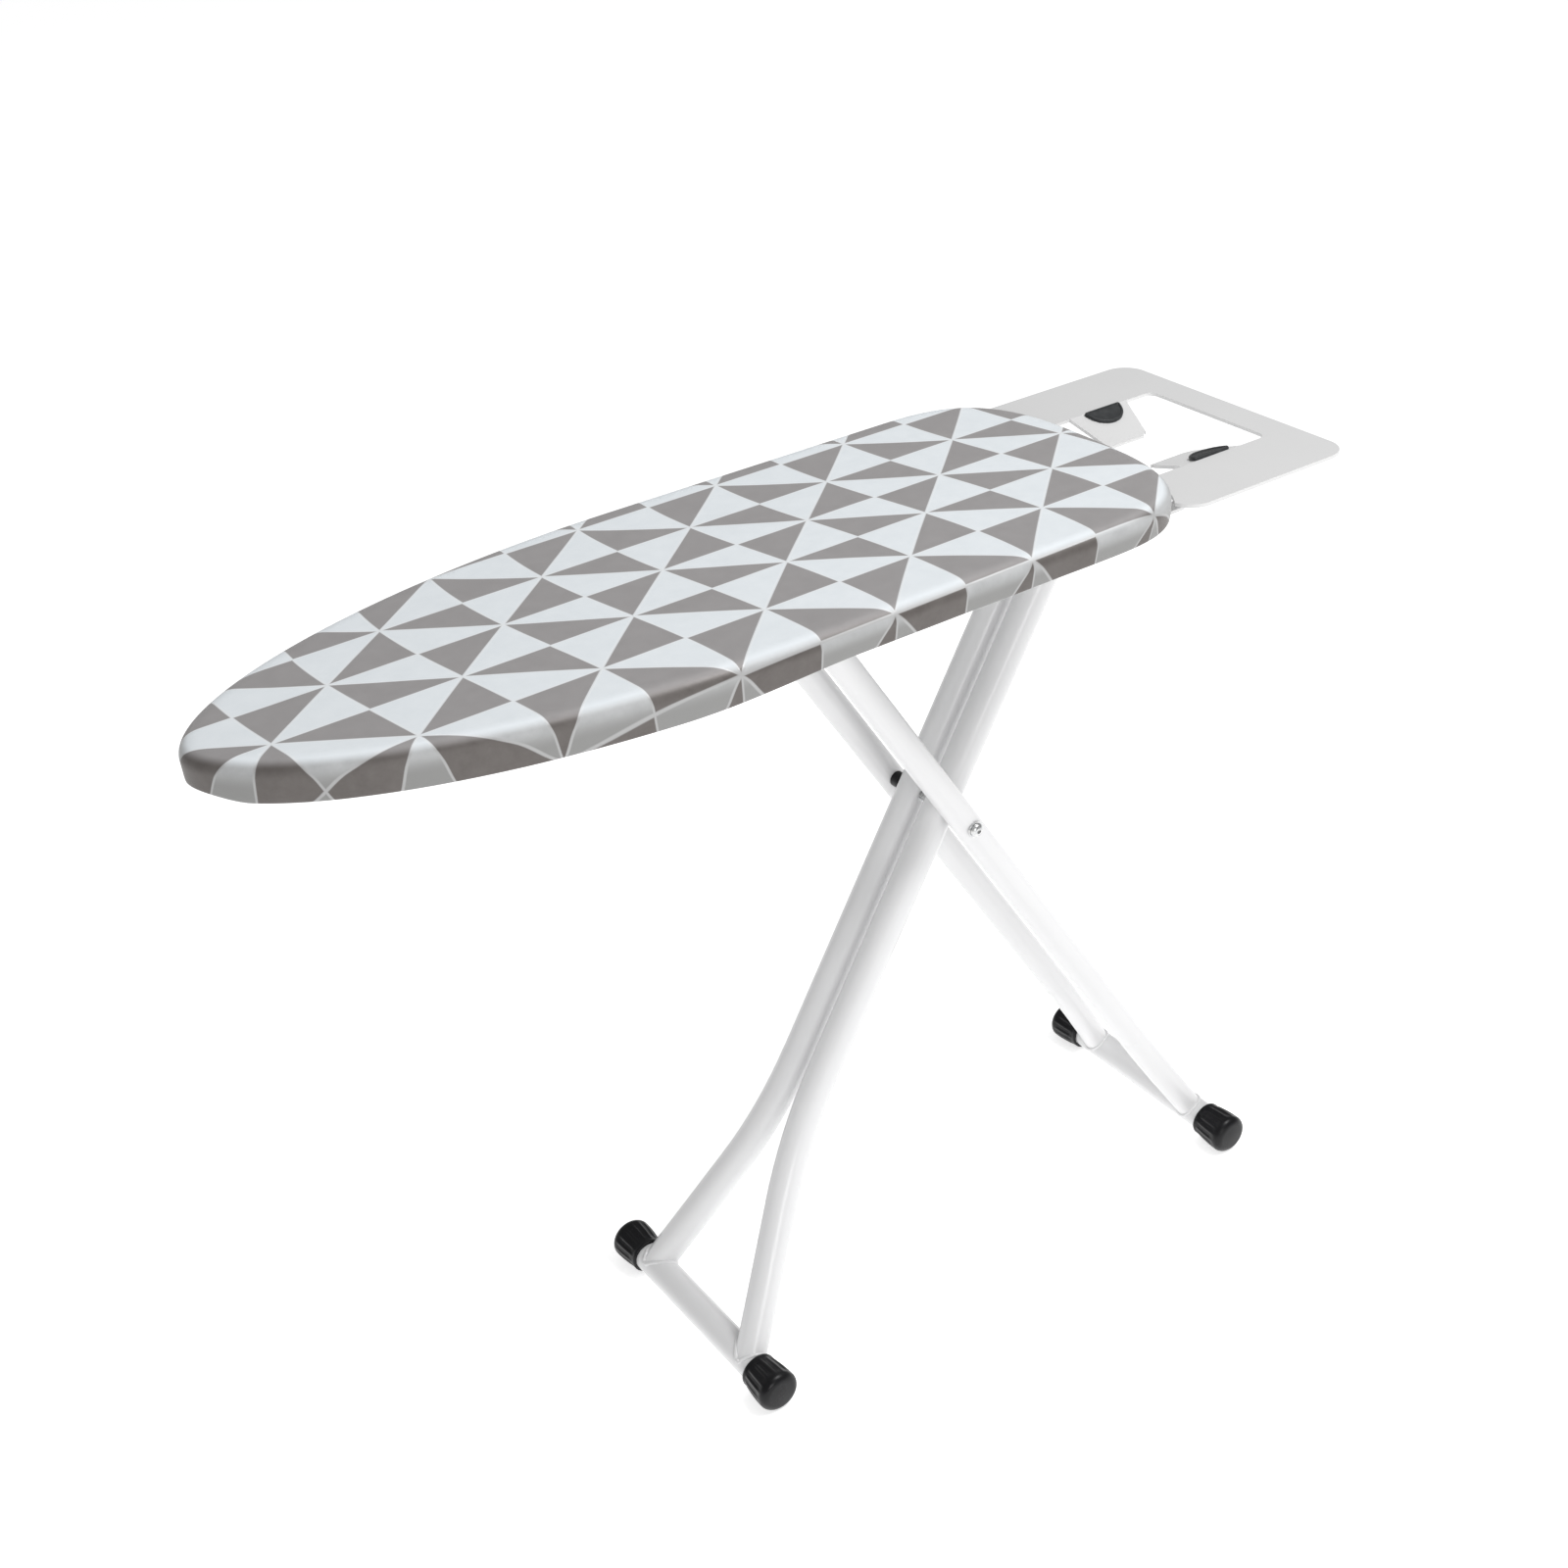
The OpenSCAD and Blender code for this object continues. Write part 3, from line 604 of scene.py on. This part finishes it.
def build_underlay():
    """A thin pad that rounds over the edge just under the cloth."""
    top = TOP_Z - CLOTH_T - UNDERLAY_GAP
    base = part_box("underlay")[0].z + 0.0001
    foot = base + UNDERLAY_LIP
    profile = []
    for k in range(UNDERLAY_STEPS + 1):
        a = math.pi / 2 * k / UNDERLAY_STEPS
        profile.append((UNDERLAY_INSET + UNDERLAY_ROLL * (1 - math.sin(a)),
                        foot + (top - foot) * math.cos(a) ** 0.9))
    profile.append((UNDERLAY_INSET + 0.0006, base))

    # (inset, height, share): the top from the spine outwards, the edge, and the underside
    rings = [(profile[0][0], top - UNDERLAY_DIP, share) for share in (0.0, 0.25, 0.5, 0.75)]
    rings += [(inset, z, 1.0) for inset, z in profile]
    rings += [(profile[-1][0], base, share) for share in (0.6, 0.0)]
    verts = []
    for inset, z, share in rings:
        for i in range(0, AROUND, 2):
            verts.append((*toward_spine(*(EDGE[i] - OUTWARD[i] * inset), share), z))
    around = AROUND // 2
    obj = mesh_object("underlay_pad", verts, ring_faces(len(verts) // around, around))
    return clean(obj, 2e-5)


underlay = build_underlay()
dress(underlay, "underlay_felt", "board", ("underlay",))

# ---------------------------------------------------------------- foot caps

CAP_RIBS = 16
CAP_SIDES = CAP_RIBS * 10
CAP_STEPS, CAP_ROUND_STEPS, CAP_END_STEPS = 14, 9, 4
CAP_BORE = 0.01555
CAP_FLARE = 0.0028                 # how much wider the outer end is than the rim
CAP_ROUND = 0.0085                 # rounding of the outer end
CAP_COLLAR = 0.0046                # length of the plain collar at the rim
CAP_DOME = 0.0006
CAP_WALL = 0.005                   # thickness of the closed end
RIB_DEPTH = 0.0011


def build_cap(name, node, body):
    """A ribbed cap, flared towards a domed outer end."""
    low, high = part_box(node)
    side = 1 if high.y > 0 else -1
    inner_y, outer_y = (low.y, high.y) if side > 0 else (high.y, low.y)
    length = abs(outer_y - inner_y)
    centre = (low + high) / 2
    r_big = (high.z - low.z) / 2
    r_rim = r_big - CAP_FLARE

    # (radius, distance from the rim, share of a rib's depth) from the bore to the outer end
    profile = [(CAP_BORE, 0.0012, 0), (CAP_BORE + 0.0006, 0.0, 0), (r_rim - 0.0012, 0.0, 0),
               (r_rim - 0.0003, 0.0005, 0), (r_rim, 0.0014, 0), (r_rim, 0.0036, 0),
               (r_rim - 0.0002, 0.0042, 0)]
    for k in range(1, CAP_STEPS + 1):
        share = k / CAP_STEPS
        along = CAP_COLLAR + share * (length - CAP_ROUND - CAP_COLLAR)
        radius = r_rim + (r_big - r_rim) * math.sin(share * math.pi / 2) ** 0.9
        rib = min(1.0, share * 5) * min(1.0, (1.02 - share) * 4)
        profile.append((radius, along, max(0.0, rib)))
    for k in range(1, CAP_ROUND_STEPS):
        a = math.pi / 2 * k / CAP_ROUND_STEPS
        profile.append((r_big - CAP_ROUND + CAP_ROUND * math.cos(a),
                        length - CAP_ROUND + CAP_ROUND * math.sin(a) * 0.93, 0))
    for k in range(CAP_END_STEPS):
        share = k / CAP_END_STEPS
        profile.append(((r_big - CAP_ROUND) * (1 - share),
                        length - CAP_DOME + CAP_DOME * math.sin(share * math.pi / 2), 0))
    verts = []
    for radius, along, rib in profile:
        for i in range(CAP_SIDES):
            angle = 2 * math.pi * i / CAP_SIDES
            ridge = max(0.0, math.cos(CAP_RIBS * angle)) ** 0.7
            r = radius - rib * RIB_DEPTH * (1 - ridge)
            verts.append((centre.x + r * math.cos(angle), inner_y + side * along,
                          centre.z + r * math.sin(angle)))
    rings = len(profile)
    verts.append((centre.x, outer_y, centre.z))
    tip = len(verts) - 1
    faces = ring_faces(rings, CAP_SIDES)
    last = (rings - 1) * CAP_SIDES
    faces += [(last + i, last + (i + 1) % CAP_SIDES, tip) for i in range(CAP_SIDES)]

    # The bore, closed at its bottom
    bottom = len(verts)
    bottom_y = inner_y + side * (length - CAP_WALL)
    for i in range(CAP_SIDES):
        angle = 2 * math.pi * i / CAP_SIDES
        verts.append((centre.x + CAP_BORE * math.cos(angle), bottom_y,
                      centre.z + CAP_BORE * math.sin(angle)))
    verts.append((centre.x, bottom_y, centre.z))
    hub = len(verts) - 1
    for i in range(CAP_SIDES):
        j = (i + 1) % CAP_SIDES
        faces.append((i, j, bottom + j, bottom + i))
        faces.append((bottom + i, bottom + j, hub))
    obj = clean(mesh_object(name, verts, faces))
    sharp_by_angle(obj, 50)
    dress(obj, "cap_plastic", body, (node,))


for leg, body in (("a", "leg_a"), ("b", "leg_b")):
    for hand in ("left", "right"):
        build_cap(f"ribbed_cap_{leg}_{hand}", f"foot_cap_{leg}_{hand}", body)

# ---------------------------------------------------------------- weld beads at the foot bars

BAR_R = 0.0155
WELD_R, WELD_POINTS = 0.0021, 96
WELDS = {"a": {"tube_r": 0.01575, "splay": math.atan2(65.7, 215)},
         "b": {"tube_r": 0.01375, "splay": math.atan2(17, 110)}}
FOOT_Y = {"a": 0.086, "b": 0.077}


def build_weld(name, leg, side, body):
    """A bead along the line where a leg tube meets its foot bar."""
    low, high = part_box(f"foot_bar_{leg}")
    centre = (low + high) / 2
    foot = Vector((centre.x, side * FOOT_Y[leg], centre.z))
    run = CROSS - Vector((foot.x, 0, foot.z))
    alpha = math.atan2(run.x, run.z)
    splay = WELDS[leg]["splay"]
    axis = Vector((math.cos(splay) * math.sin(alpha), -side * math.sin(splay),
                   math.cos(splay) * math.cos(alpha)))
    across = axis.cross(Vector((0, 1, 0))).normalized()
    level = axis.cross(across)
    r = WELDS[leg]["tube_r"]

    # Each line along the tube's wall is followed to where it leaves the foot bar
    points = []
    for i in range(WELD_POINTS):
        angle = 2 * math.pi * i / WELD_POINTS
        start = r * (math.cos(angle) * across + math.sin(angle) * level)
        a = axis.x ** 2 + axis.z ** 2
        b = 2 * (start.x * axis.x + start.z * axis.z)
        c = start.x ** 2 + start.z ** 2 - BAR_R ** 2
        inside = b * b - 4 * a * c
        t = (-b + math.sqrt(max(0.0, inside))) / (2 * a)
        points.append(foot + start + axis * t)
    bead = tube_along(name, points, WELD_R, sides=10, ripple=0.35, seed=side + ord(leg))
    dress(bead, "leg_steel", body)


for leg, body in (("a", "leg_a"), ("b", "leg_b")):
    for hand, side in (("left", 1), ("right", -1)):
        build_weld(f"weld_{leg}_{hand}", leg, side, body)

# ---------------------------------------------------------------- pads on the iron rest's tabs

TAB_ANGLE = math.radians(18)
TAB_ROOT = Vector((0.0, 0.0775, 0.805))     # on the window's edge
PAD_MIDDLE, PAD_R, PAD_FLAT, PAD_THICK = 0.435, 0.022, 0.001, 0.0035
PAD_CORNER = 0.0022
CORNER_STEPS, ARC_STEPS, FLAT_STEPS = 8, 48, 20


def build_pad(name, node, side):
    """A D-shaped pad with a raised rim round a slightly hollow face."""
    down = Vector((0.0, -side * math.cos(TAB_ANGLE), -math.sin(TAB_ANGLE)))
    out = Vector((0.0, -side * math.sin(TAB_ANGLE), math.cos(TAB_ANGLE)))
    root = Vector((PAD_MIDDLE, side * TAB_ROOT.y, TAB_ROOT.z))

    def shape(inset):
        """The D's outline with small rounded corners, pulled in by an inset."""
        r = PAD_R - inset
        soft = max(0.0006, PAD_CORNER - inset)
        flat = PAD_FLAT + inset
        reach = math.sqrt((r - soft) ** 2 - (flat + soft - PAD_FLAT) ** 2)
        points = []
        tilt = math.atan2(flat + soft - PAD_FLAT, reach)
        for i in range(CORNER_STEPS + 1):
            a = -math.pi / 2 + (math.pi / 2 + tilt) * i / CORNER_STEPS
            points.append((reach + soft * math.cos(a), flat + soft + soft * math.sin(a)))
        for i in range(1, ARC_STEPS):
            a = tilt + (math.pi - 2 * tilt) * i / ARC_STEPS
            points.append((r * math.cos(a), PAD_FLAT + r * math.sin(a)))
        for i in range(CORNER_STEPS + 1):
            a = math.pi - tilt + (math.pi / 2 + tilt) * i / CORNER_STEPS
            points.append((-reach + soft * math.cos(a), flat + soft + soft * math.sin(a)))
        for i in range(1, FLAT_STEPS):
            points.append((-reach + 2 * reach * i / FLAT_STEPS, flat))
        return points

    # (inset, height): up the outside, over the raised rim and down to the hollow face
    rows = [(0.0, 0.0), (0.0, PAD_THICK - 0.0013), (0.0005, PAD_THICK - 0.0004),
            (0.0013, PAD_THICK), (0.0021, PAD_THICK - 0.0001), (0.0029, PAD_THICK - 0.0009),
            (0.006, PAD_THICK - 0.001)]
    verts = []
    for inset, lift in rows:
        verts += [root + Vector((x, 0, 0)) + down * s + out * lift for x, s in shape(inset)]
    count = len(verts) // len(rows)
    faces = ring_faces(len(rows), count)
    faces.append(tuple(range(count))[::-1])
    faces.append(tuple(range((len(rows) - 1) * count, len(rows) * count)))
    obj = clean(mesh_object(name, verts, faces))
    sharp_by_angle(obj, 35)
    dress(obj, "rest_silicone", "board", (node,))


build_pad("rim_pad_left", "rest_pad_left", 1)
build_pad("rim_pad_right", "rest_pad_right", -1)

# ---------------------------------------------------------------- pivot bolt

BOLT_SHANK, BOLT_CHAMFER = 0.0039, 0.0006
BOLT_HEAD, HEAD_EDGE, HEAD_RIM, HEAD_SEAT = 0.0069, 0.0003, 0.0004, 0.0045
HEAD_DOME, DOME_STEPS = 0.0041, 10
DOME_TURN = math.pi / 2 * 0.72
SOCKET_HALF, SOCKET_DEPTH = 0.0021, 0.0022
BOLT_SIDES = 96


def build_bolt():
    """The pivot bolt with a domed head that has a hexagonal socket."""
    low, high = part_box("pivot_bolt")
    centre = (low + high) / 2
    seat = low.y + HEAD_SEAT

    # (radius, place along the bolt) from the end of the thread to the top of the head
    profile = [(BOLT_SHANK - BOLT_CHAMFER, high.y), (BOLT_SHANK, high.y - BOLT_CHAMFER),
               (BOLT_SHANK, seat), (BOLT_HEAD - HEAD_EDGE, seat), (BOLT_HEAD, seat - HEAD_EDGE)]
    for k in range(1, DOME_STEPS + 1):
        a = DOME_TURN * k / DOME_STEPS
        rise = HEAD_DOME * math.sin(a) / math.sin(DOME_TURN)
        profile.append((BOLT_HEAD * math.cos(a), seat - HEAD_RIM - rise))
    verts = []
    for r, y in profile:
        for i in range(BOLT_SIDES):
            a = 2 * math.pi * i / BOLT_SIDES
            verts.append((centre.x + r * math.cos(a), y, centre.z + r * math.sin(a)))
    for depth in (0.0, SOCKET_DEPTH):
        for i in range(BOLT_SIDES):
            a = 2 * math.pi * i / BOLT_SIDES
            hexed = SOCKET_HALF / math.cos((a + math.pi / 6) % (math.pi / 3) - math.pi / 6)
            verts.append((centre.x + hexed * math.cos(a), low.y + depth,
                          centre.z + hexed * math.sin(a)))
    rings = len(profile) + 2
    faces = ring_faces(rings, BOLT_SIDES)
    faces.append(tuple(range(BOLT_SIDES))[::-1])
    faces.append(tuple(range((rings - 1) * BOLT_SIDES, rings * BOLT_SIDES)))
    obj = clean(mesh_object("pivot_screw", verts, faces))
    sharp_by_angle(obj, 35)
    dress(obj, "zinc_steel", "leg_b", ("pivot_bolt",))


build_bolt()

# ---------------------------------------------------------------- camera, floor and light

CAMERA_PLACE = (-0.9281, -1.4136, 1.6034)
CAMERA_YAW, CAMERA_PITCH, CAMERA_ROLL = 56.98, -31.058, -3.706
LIGHT_AIM = Vector((0.0, 0.0, 0.5))

camera_data = bpy.data.cameras.new("camera")
camera_data.lens = 50.0
camera_data.sensor_width = 36.0
camera_data.clip_end = 60.0
camera = bpy.data.objects.new("camera", camera_data)
SCENE.collection.objects.link(camera)
yaw, pitch, roll = map(math.radians, (CAMERA_YAW, CAMERA_PITCH, CAMERA_ROLL))
ahead = Vector((math.cos(pitch) * math.cos(yaw), math.cos(pitch) * math.sin(yaw),
                math.sin(pitch)))
right = ahead.cross(Vector((0, 0, 1))).normalized()
up = right.cross(ahead)
right, up = (right * math.cos(roll) + up * math.sin(roll),
             up * math.cos(roll) - right * math.sin(roll))
turn = Matrix((right, up, -ahead)).transposed().to_4x4()
camera.matrix_world = Matrix.Translation(CAMERA_PLACE) @ turn
SCENE.camera = camera


def floor_material():
    """A white floor that glows a little, so that shadows stay faint."""
    g = Graph("floor")
    faint = g.noise(g.place(), 3.0, 3.0)
    g.set(Base_Color=g.mix(faint, (0.9, 0.9, 0.9), (0.92, 0.92, 0.92)), Roughness=0.9,
          Emission_Color=(1.0, 1.0, 1.0, 1.0), Emission_Strength=0.64)
    return g.material


bpy.ops.mesh.primitive_plane_add(size=60)
floor = bpy.context.object
floor.name = "floor"
floor.data.materials.append(floor_material())


def softbox(name, direction, distance, size, watts):
    """A square soft light that faces the middle of the object."""
    light = bpy.data.lights.new(name, "AREA")
    light.shape, light.size, light.energy = "SQUARE", size, watts
    obj = bpy.data.objects.new(name, light)
    SCENE.collection.objects.link(obj)
    away = Vector(direction).normalized()
    obj.location = LIGHT_AIM + away * distance
    obj.rotation_euler = away.to_track_quat("Z", "Y").to_euler()


softbox("key", (0.3, -0.35, 0.85), 3.6, 1.3, 74)
softbox("fill", (-0.35, -1.0, 0.3), 4.5, 1.6, 34)

world = bpy.data.worlds.new("studio")
SCENE.world = world
world.use_nodes = True
world.node_tree.nodes["Background"].inputs[0].default_value = (1, 1, 1, 1)
world.node_tree.nodes["Background"].inputs[1].default_value = 0.37
SCENE.view_settings.view_transform = "Standard"
